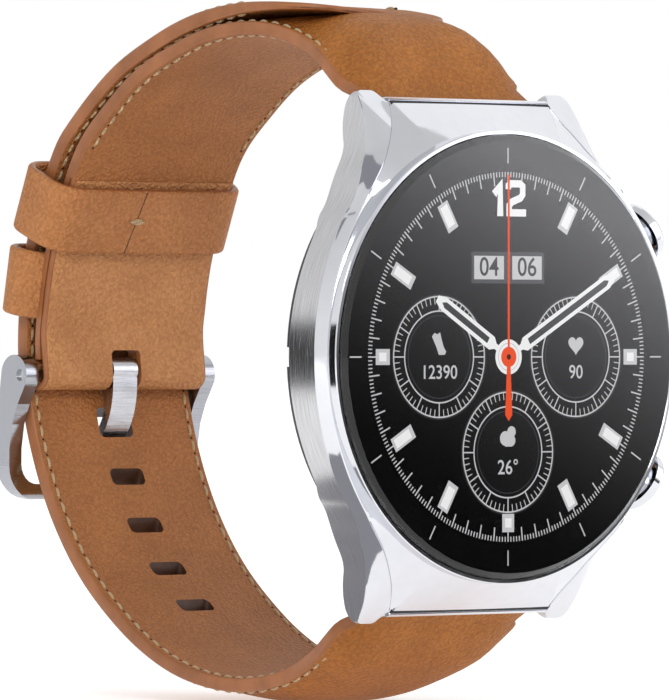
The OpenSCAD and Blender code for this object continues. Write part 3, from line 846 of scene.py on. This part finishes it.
# Signs of a box's corners, and where each corner's arc starts
CORNERS = ((1, 1, 0), (-1, 1, 90), (-1, -1, 180), (1, -1, 270))


def round_box(half_x, half_y, corner, count):
    """Outline of a box with round corners."""
    outline = []
    for sx, sy, start in CORNERS:
        outline += arc((sx * (half_x - corner), sy * (half_y - corner)), corner, start,
                       start + 90, count)
    return outline


def across_to(count):
    """Shares from one side, 1, to the other, -1, without the ends."""
    return [1 - 2 * k / count for k in range(1, count)]


def half_width(s):
    """Half of the strap's width: it spreads just past the lugs and tapers back."""
    return STRAP_HALF + FLARE * ease(s, 4.3, 5.6) * (1 - ease(s, 6, 15.5))


def tail_width(s):
    """Half width of the long strap, whose tip is blunt with rounded corners."""
    t = max(s - (LOWER.length - TIP_CORNER), 0) / TIP_CORNER
    return half_width(s) - TIP_CORNER * (1 - sqrt(max(1 - min(t, 1) ** 2, 0)))


def tip_droop(path, s, x):
    """How far the long strap's tip settles onto the crown, more on its far side."""
    if path is UPPER:
        return 0
    return 1.1 * ease(s, LOWER.length - 13, LOWER.length) * ease(x, -10, 6)


def outer_section(w, top, crown, margin, power):
    """Outline in (x, n) of the outer leather: round edges and a crown between them."""
    across, soft = 30, 0.3
    section = [(-w, LAYER_SPLIT), *arc((-w + soft, top - soft), soft, 180, 90, 5)]
    for k in range(1, across):
        x = -w + soft + (2 * w - 2 * soft) * k / across
        t = min(abs(x) / (w - margin), 1)
        section.append((x, top + crown * (1 - t ** power) ** 1.1))
    return [*section, *arc((w - soft, top - soft), soft, 90, 0, 5), (w, LAYER_SPLIT)]


def lining_section(w, base):
    """Outline in (x, n) of the lining: flat, with round lower edges."""
    across, soft = 10, 0.25
    section = [(w, LAYER_SPLIT), *arc((w - soft, base + soft), soft, 0, -90, 5)]
    section += [(w - soft - 2 * (w - soft) * k / across, base) for k in range(1, across)]
    return [*section, *arc((-w + soft, base + soft), soft, -90, -180, 5), (-w, LAYER_SPLIT)]


UPPER_CROWN = [(0, 0), (2.5, 0.4), (5, 1.7), (8, 2.6), (11, 2.95), (14, 2.6), (17.4, 1.3),
               (21, 0.75), (24, 0.45), (34, 0.3), (50, 0.15), (76, 0.1)]
LOWER_CROWN = [(0, 0), (2.5, 0.4), (5, 1.4), (9, 1.9), (16, 1.8), (26, 1.0), (42, 0.4),
               (60, 0.15), (142, 0.1)]
INNER_N = [(0, -0.6), (10, -0.6), (45, -0.85), (125, -0.85), (133, -0.55), (141, -0.3)]
TOP_N = [(0, 0.7), (10, 0.7), (120, 0.75), (133, 0.5), (141, 0.25)]


def strap_layer(name, path, end, section_at, leather_face):
    """One layer of a strap through its sections, with painted edges."""
    # rings stand closer together over the rounded tip
    stations = steps(1.2, end - 5.8, 0.8) + steps(end - 5.6, end, 0.25)
    rings = [[path.place(s, x, n - tip_droop(path, s, x)) for x, n in section_at(s)]
             for s in stations]
    points, faces = loft(rings)
    count = len(rings[0])
    kinds = [1 if i % count < 5 or i % count > count - 7 else 0 for i in range(len(faces))]
    kinds[-2:] = [1, 1]
    return new_piece(name, points, faces, [leather_face, EDGE], kinds, STRAP_CREASE)


def strap_layers(name, path, width, crown, lining_end):
    """Outer leather and lining of one strap."""
    def outer(s):
        return outer_section(width(s), between(s, TOP_N), between(s, crown),
                             0.5 + 1.3 * ease(s, 7, 18), 3.2 + 3.5 * (1 - ease(s, 6, 18)))

    def inner(s):
        return lining_section(width(s), between(s, INNER_N))

    return (strap_layer(name + "_outer", path, path.length, outer, LEATHER),
            strap_layer(name + "_lining", path, lining_end, inner, LINING))


def bar_loop(name, side):
    """Leather tube round a spring bar."""
    end = STRAP_HALF
    outline = ((0.93, -end), (1.35, -end), (1.5, -end + 0.2),
               (1.5, end - 0.2), (1.35, end), (0.93, end))
    rings = [[(x, *p) for p in circle((BAR.y, side * BAR.z), r, 48)] for r, x in outline]
    loop = new_piece(name, *loft(rings, closed=True), [LINING])
    return settle(cut(loop, lever_gap(side), crease=32), BODY, "lining")


def lever_gap(side):
    """Room for the lever that draws a spring bar's plunger in."""
    gap = prism("gap", [(-1.1, 0), (1.1, 0), (1.1, 3.2), (-1.1, 3.2)], 4.6, 7.4)
    return move(gap, about_x(215 if side > 0 else -35, BAR.y, side * BAR.z))


def slot_cutter(s, length, slant):
    """One rounded slot through the long strap, punched at a slant in degrees."""
    drift, reach = tan(radians(slant)), 2.5
    outline = round_box(2.2, length / 2, 0.62, 5)
    rings = [[LOWER.place(s + v - drift * n, x, n) for x, v in outline] for n in (-reach, reach)]
    # the walls take the dark slot paint, which also paints the shade inside the slot
    return new_piece("slot", *loft(rings), [SLOT_WALL_PAINT_AND_SHADE])


def stitches(name, path, width, top, start, end):
    """Thread stitches along both edges, with a dark dot of painted shade in the hole after each.
    """
    pitch, half, radius, tilt, inset, hole = 1.75, 0.62, 0.15, 0.05, 0.8, 0.19
    thread, hole_shades = Print(name, THREAD, "thread"), Print(name + "_hole_shades", HOLE_SHADE_AND_SEAM, "leather")
    outward = 1 if top(20) > 0 else -1
    wide = Vector((1, 0, 0))
    for side in (-1, 1):
        for k in range(int((end - start) / pitch)):
            s = start + pitch * k
            rings = []
            for u, r in ((-1, 0.35), (-0.9, 0.8), (-0.6, 1), (0, 1.05), (0.6, 1), (0.9, 0.8),
                         (1, 0.35)):
                at = s + half * u
                x = side * (width(at) - inset) + tilt * u
                n = top(at) + outward * (0.03 - 0.14 * u * u)
                middle = path.place(at, x, n)
                up = (path.place(at, x, n + 1) - middle).normalized()
                rings.append([middle + (up * sin(a) + wide * cos(a)) * (radius * r)
                              for a in turns(8)])
            thread.solid(*loft(rings))
            # a dark dot of painted shade where the thread goes into the leather
            at = s + pitch / 2
            middle = path.place(at, side * (width(at) - inset), top(at) - outward * 0.13)
            rings = []
            for u in (-0.95, -0.6, 0, 0.6, 0.95):
                r = hole * sqrt(1 - u * u)
                rings.append([middle + Vector((r * cos(a), hole * u, r * sin(a)))
                              for a in turns(8)])
            hole_shades.solid(*loft(rings))
    thread.done()
    hole_shades.done()


def settle_strap(name, outer, lining):
    """Both layers take the place of the CAD's."""
    settle(outer, BODY, "leather", name + "_outer")
    settle(lining, BODY, "lining", name + "_lining")


def make_straps():
    fold_start = 55.5
    outer, lining = strap_layers("strap_upper", UPPER, half_width, UPPER_CROWN, fold_start)
    cut(outer, tongue_room(), lever_gap(1))
    cut(lining, lever_gap(1))
    settle_strap("strap_upper", outer, lining)
    make_fold(fold_start)

    outer, lining = strap_layers("strap_lower", LOWER, tail_width, LOWER_CROWN, LOWER.length)
    for layer in (outer, lining):
        cutters = [slot_cutter(SLOT_USED + 0.5, 3.3, 20), lever_gap(-1)]
        cutters += [slot_cutter(SLOT_USED - k * SLOT_PITCH, 1.9, 36) for k in (-2, -1, 1, 2, 3, 4)]
        cut(layer, *cutters)
    settle_strap("strap_lower", outer, lining)
    bar_loop("bar_loop_upper", 1)
    bar_loop("bar_loop_lower", -1)


def tongue_room():
    """Opening in the strap's end that the tongue swings in."""
    half, top, corner = 1.9, 0.65, 0.5
    gap = [(-half, -6), *arc((-half + corner, top - corner), corner, 180, 90, 4),
           *arc((half - corner, top - corner), corner, 90, 0, 4), (half, -6)]
    return new_piece("room", *loft([[(x, y, z) for x, z in gap] for y in (46, 56)]), [EDGE])


def make_fold(start):
    """Leather that comes down the inner face, round the pin and up to the outer face."""
    thick = 0.72
    inner = [UPPER.place(s, 0, LAYER_SPLIT - thick / 2 - 0.02)
             for s in steps(start, UPPER.length - 2.6, 3)]
    line = [(p.y, p.z) for p in inner]
    line += arc((PIN.y - 0.5, PIN.z), 1.55 - thick / 2, 180, 390, 7)
    path = Path([*line, (PIN.y - 0.15, -0.5)], -1)
    section = fold_section(STRAP_HALF, thick / 2)
    points, faces = loft([[path.place(s, x, n) for x, n in section]
                          for s in steps(0, path.length, 0.35)])
    count = len(section)
    kinds = [0 if 3 <= i % count <= 10 or 18 <= i % count <= 25 else 1
             for i in range(len(faces))]
    fold = new_piece("strap_upper_fold", points, faces, [LIT_FOLD_LEATHER, EDGE], kinds,
                     STRAP_CREASE)
    cut(fold, tongue_room())
    return settle(fold, BODY, "leather", "strap_upper_fold")


def fold_section(w, half):
    """Flat leather sheet with round edges, in (x, n)."""
    soft = half * 0.8
    section = []
    for sx, sn, start in ((-1, -1, 180), (1, -1, 270), (1, 1, 0), (-1, 1, 90)):
        section += arc((sx * (w - soft), sn * (half - soft)), soft, start, start + 90, 3)
        if sx == sn:
            section += [(sx * (w - soft) * t, sn * half) for t in across_to(8)]
    return section


def make_stitches():
    def face(s):
        return between(s, TOP_N) + 0.02

    def inner(s):
        return between(s, INNER_N) - 0.02

    stitches("stitches_upper_face", UPPER, half_width, face, 8.4, UPPER.length - 4)
    stitches("stitches_upper_lining", UPPER, half_width, inner, 12, 52.5)
    stitches("stitches_lower_face", LOWER, tail_width, face, 8.4, LOWER.length - 8)
    stitches("stitches_lower_lining", LOWER, tail_width, inner, 12, LOWER.length - 8)


# --- keepers ---
def make_keeper(name, matrix, near, far, body, bow):
    """A leather loop round both straps, from the depth near to far in its own frame."""
    corner, half = 2.4, KEEPER_HALF - KEEPER_T / 2
    walk = []
    for sx, sy, start in CORNERS:
        y = far - KEEPER_T / 2 if sy > 0 else near + KEEPER_T / 2
        walk += arc((sx * (half - corner), y - sy * corner), corner, start, start + 90, 8)
        if sx == sy:
            walk += [(sx * (half - corner) * t, y + sy * bow * (1 - t ** 2))
                     for t in across_to(20)]
    section = round_box(KEEPER_T / 2, KEEPER_LENGTH / 2, KEEPER_T * 0.42, 4)
    rings = []
    for i, p in enumerate(walk):
        along = Vector(walk[(i + 1) % len(walk)]) - Vector(walk[i - 1])
        out = Vector((along.y, -along.x)).normalized()
        rings.append([matrix @ Vector((p[0] + out.x * n, p[1] + out.y * n, z))
                      for n, z in section])
    points, faces = loft(rings, closed=True)
    edge_rows = (3, 4, 5, 13, 14, 15)
    kinds = [1 if i % len(section) in edge_rows else 0 for i in range(len(faces))]
    keeper = new_piece(name, points, faces, [LIT_KEEPER_LEATHER, EDGE], kinds, STRAP_CREASE)
    return settle(keeper, body, "leather", name)


def make_keepers():
    make_keeper("keeper_fixed", about_x(11, 50.4, 7.4), -0.9, 5.1, BODY, 0.1)
    floating = about_x(22.5, 25.2, 5.6)
    near, far, bow = 22.35 - KEEPER_T, 29.1 + KEEPER_T, 0.15
    make_keeper("keeper_floating", floating, near, far, "keeper_floating", bow)

    # seam across the loop's inner run, and the bar tack that closes it
    seam = Print("keeper_seam", HOLE_SHADE_AND_SEAM, "leather", "keeper_floating")
    tack = Print("keeper_tack", THREAD, "thread", "keeper_floating")
    seam_x, slant, half = -2.1, 0.55, 0.05

    def on_face(x, z, n):
        sag = bow * (1 - (x / (KEEPER_HALF - 2)) ** 2)
        return floating @ Vector((x, near - sag + n, z))

    rings = []
    for k in range(29):
        z = -3.35 + 6.7 * k / 28
        x = seam_x + slant * z / 3.5
        rings.append([on_face(x + dx, z, dn) for dx, dn in ((-half, -0.01), (half, -0.01),
                                                            (half, 0.1), (-half, 0.1))])
    seam.solid(*loft(rings))
    for k in range(-4, 5):
        x = seam_x + 0.1 + k * 0.21
        tall = 0.34 * (1 - 0.05 * k ** 2)
        rings = []
        for u in (-1, -0.8, -0.4, 0, 0.4, 0.8, 1):
            middle = Vector((x, near - 0.17 - 0.1 * (1 - u * u), 0.15 + tall * u))
            r = 0.12 * (1 if abs(u) < 0.9 else 0.5)
            rings.append([floating @ (middle + Vector((r * cos(a), r * sin(a), 0)))
                          for a in turns(6)])
        tack.solid(*loft(rings))
    seam.done()
    tack.done()


# --- finishes of the parts that stay as the frame has them ---
# Material, width of the rounded edges (0 leaves them sharp), and nodes. A * stands for
# upper and lower.
NODE_FINISHES = [
    (POLISHED, 0.04, "bezel_ring"),
    (POLISHED, 0.06, "button_*"),
    (SHADED_BUCKLE_STEEL, 0.2, "buckle_frame"),
    (BRUSHED_X, 0.14, "buckle_tongue"),
    (BRUSHED_X, 0.05, "buckle_pin bar_*_tube back_screws frame_screws shield_can microphone "
                      "motor_housing switch_*"),
    (DARK_METAL, 0, "bar_*_plunger bar_*_spring button_*_clip motor_mass"),
    (BLACK_RUBBER_AND_GROOVE_SHADE, 0, "glass_gasket back_seal button_*_oring"),
    (COVER_PLASTIC, 0.08, "back_cover"),
    (WINDOW, 0.08, "sensor_window display_panel"),
    (PLASTIC, 0.05, "antenna_ring inner_frame speaker"),
    (WRAP, 0.3, "battery"),
    (BOARD, 0, "main_board sensor_board button_board"),
    (COPPER, 0, "display_flex charging_coil"),
]


def finish_nodes():
    for material, width, names in NODE_FINISHES:
        for name in names.split():
            for side in ("upper", "lower") if "*" in name else ("",):
                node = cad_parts[name.replace("*", side)]
                node.data.materials.clear()
                node.data.materials.append(material)
                if width:
                    round_edges(node, width)


# --- camera, light and floor ---
def make_camera():
    data = bpy.data.cameras.new("camera")
    data.lens, data.sensor_width, data.clip_start = 406.21, 36, 0.01
    camera = new_object("camera", data)
    camera.location = (-0.5177, -0.58748, 0.000678)
    camera.rotation_euler = (radians(90), 0, radians(-40.6326))
    bpy.context.scene.camera = camera


def facing(direction, distance, about=(0, 0, 0)):
    """Matrix of something that faces a point from a direction, in metres."""
    away = Vector(direction).normalized()
    matrix = away.to_track_quat("Z", "Y").to_matrix().to_4x4()
    matrix.translation = Vector(about) + away * distance
    return matrix


def sheet(name, half_w, half_h, z, material, matrix=Matrix()):
    """A flat sheet of the stage, in metres."""
    mesh = bpy.data.meshes.new(name)
    mesh.from_pydata([(-half_w, -half_h, z), (half_w, -half_h, z), (half_w, half_h, z),
                      (-half_w, half_h, z)], [], [(0, 1, 2, 3)])
    mesh.materials.append(material)
    piece = new_object(name, mesh)
    piece.matrix_world = matrix
    return piece


def card(name, direction, distance, width, height, colour, glow=0.0, about=(0, -0.008, 0)):
    """A flat card facing the watch from a direction, seen only in reflections."""
    material, tree, bsdf, place = shader(
        name, Roughness=1.0, Base_Color=(0.01, 0.01, 0.01, 1), Specular_IOR_Level=0.0,
        Emission_Color=colour, Emission_Strength=glow)
    piece = sheet(name, width / 2, height / 2, 0, material, facing(direction, distance, about))
    piece.visible_camera = piece.visible_diffuse = piece.visible_shadow = False
    return tree, bsdf, place


def area_light(name, direction, distance, size, power):
    data = bpy.data.lights.new(name, "AREA")
    data.shape, data.size, data.energy = "DISK", size, power
    light = new_object(name, data)
    light.matrix_world = facing(direction, distance)
    light.visible_camera = False


def make_world():
    """White all round the horizon, dimmer overhead and underfoot."""
    world = bpy.data.worlds.new("world")
    bpy.context.scene.world = world
    world.use_nodes = True
    tree = world.node_tree
    direction = add(tree, "TexCoord").outputs["Generated"]
    up = add(tree, "SeparateXYZ", {"Vector": direction}).outputs["Z"]
    level = spread(tree, calc(tree, "ABSOLUTE", up), 0.2, 0.95, 0.95, 0.7)
    seen = add(tree, "LightPath").outputs["Is Camera Ray"]
    background = tree.nodes["Background"]
    background.inputs["Color"].default_value = (1, 1, 1, 1)
    feed(tree, background, Strength=calc(tree, "MAXIMUM", level, seen))


def make_floor():
    """A pale floor, a little under the strap, that glows just enough to stay white."""
    size, z = 6.0, (low("strap_lower_outer").z - 1.2) * MM
    material, tree, bsdf, place = shader(
        "floor_pale", Roughness=0.9, Emission_Color=(1, 1, 1, 1), Emission_Strength=0.45,
        Specular_IOR_Level=0.1)
    cloud = noise(tree, place, 60)
    feed(tree, bsdf, Base_Color=mix(tree, cloud, (0.86, 0.86, 0.86, 1), (0.83, 0.83, 0.83, 1)))
    sheet("floor", size, size, z, material)


def make_cards():
    black, grey, white = (0.01, 0.01, 0.01, 1), (0.3, 0.3, 0.32, 1), (0.9, 0.9, 0.9, 1)
    card("card_band", (-0.65, 0.76, -0.02), 0.2, 0.07, 0.085, black, about=(-0.0152, -0.021, 0))
    for side, distance in ((-1, 0.018), (1, 0.048)):
        card("card_bevel", (-0.34, 0.26, 0.9 * side), distance, 0.03, 0.03, grey, 1.0,
             (-0.0165, -0.009, 0.0155 * side))
    card("card_bridge", (0.65, 0.33, 0.68), 0.3, 0.34, 0.3, white, 1.2)
    # over the glass: dark at one corner, and brighter towards the other
    tree, bsdf, place = card("card_glass", (0.65, -0.76, 0.0), 0.2, 0.3, 0.26, black, 1.0)
    parts = add(tree, "SeparateXYZ", {"Vector": place}).outputs
    slope = calc(tree, "MULTIPLY_ADD", parts["X"], 0.6, parts["Y"])
    level = calc(tree, "POWER", spread(tree, slope, -0.024, 0.027, 0.0, 1.0), 2.5)
    feed(tree, bsdf, Emission_Color=mix(tree, level, black, (2.15, 2.15, 2.25, 1)))


def make_stage():
    bpy.context.scene.view_settings.view_transform = "Standard"
    make_world()
    make_floor()
    make_cards()
    area_light("key", (-0.5, -0.8, 0.45), 0.7, 0.3, 1.3)


make_camera()
make_stage()
finish_nodes()
make_case()
make_lip_groove_shade("lip_groove_shade_lower", -1)
make_lip_groove_shade("lip_groove_shade_upper", 1)
make_collar("pusher_collar_upper", 1)
make_collar("pusher_collar_lower", -1)
make_crystal()
make_dial_print()
make_straps()
make_stitches()
make_keepers()
